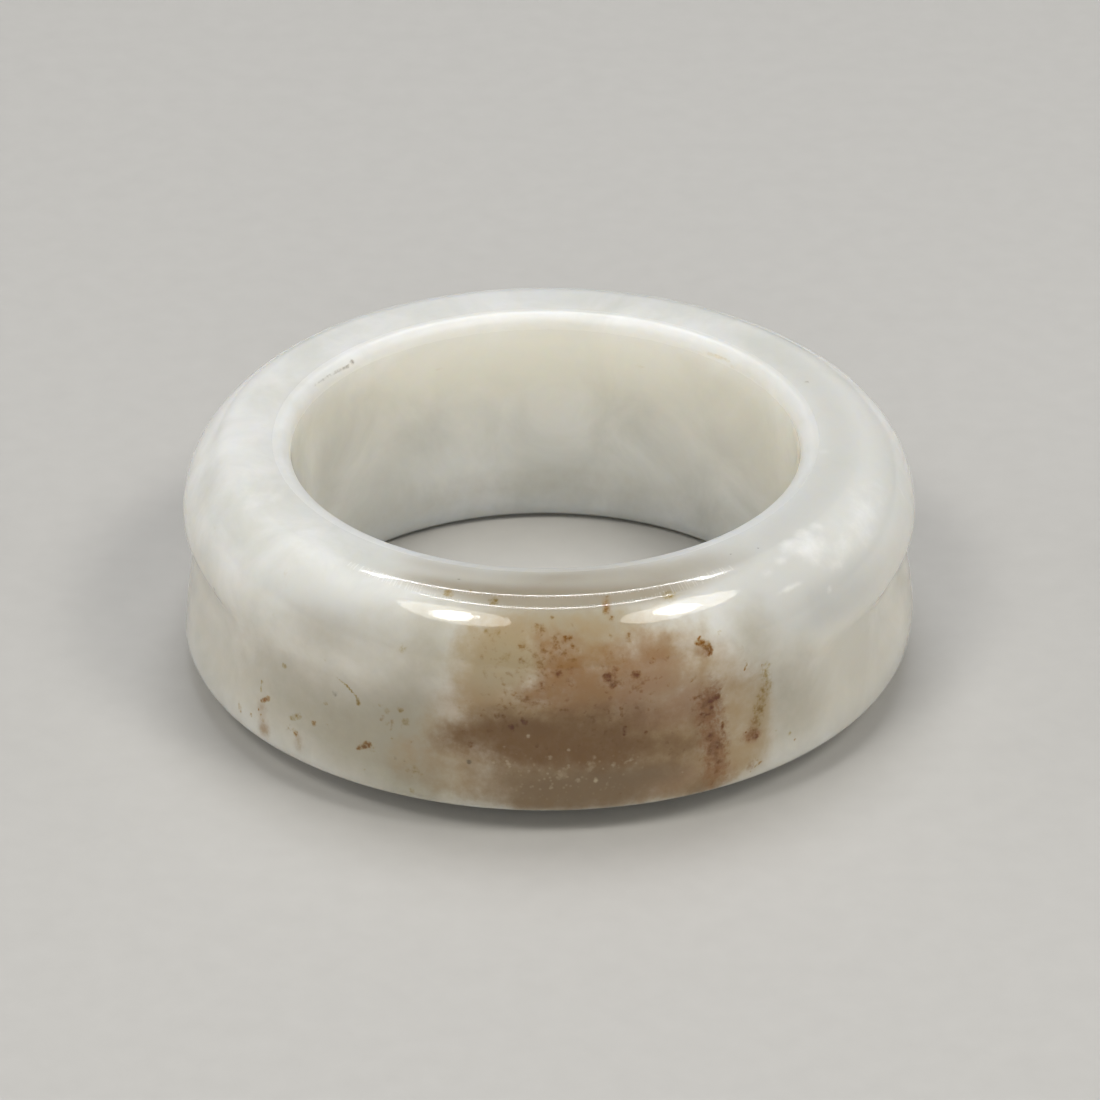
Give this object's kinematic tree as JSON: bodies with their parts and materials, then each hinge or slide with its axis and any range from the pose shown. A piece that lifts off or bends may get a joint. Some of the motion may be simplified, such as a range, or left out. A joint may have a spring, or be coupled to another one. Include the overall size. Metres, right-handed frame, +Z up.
{
  "type": "jade band ring",
  "caption": "Wide finger ring of polished stone with a waisted outer face, a flat top face and a smooth round finger hole, lying on its side.",
  "frame": {"origin": "centre of the finger hole on the plane that the foot rests on", "axes": "+Z up along the finger hole, from the foot to the flat top face; the ring is round about it, so X and Y are any two level directions"},
  "size_m": [0.0266, 0.0266, 0.0088],
  "materials": {
    "jade": "polished"
  },
  "bodies": {
    "root": {"jade_band": "jade"}
  },
  "joints": []
}
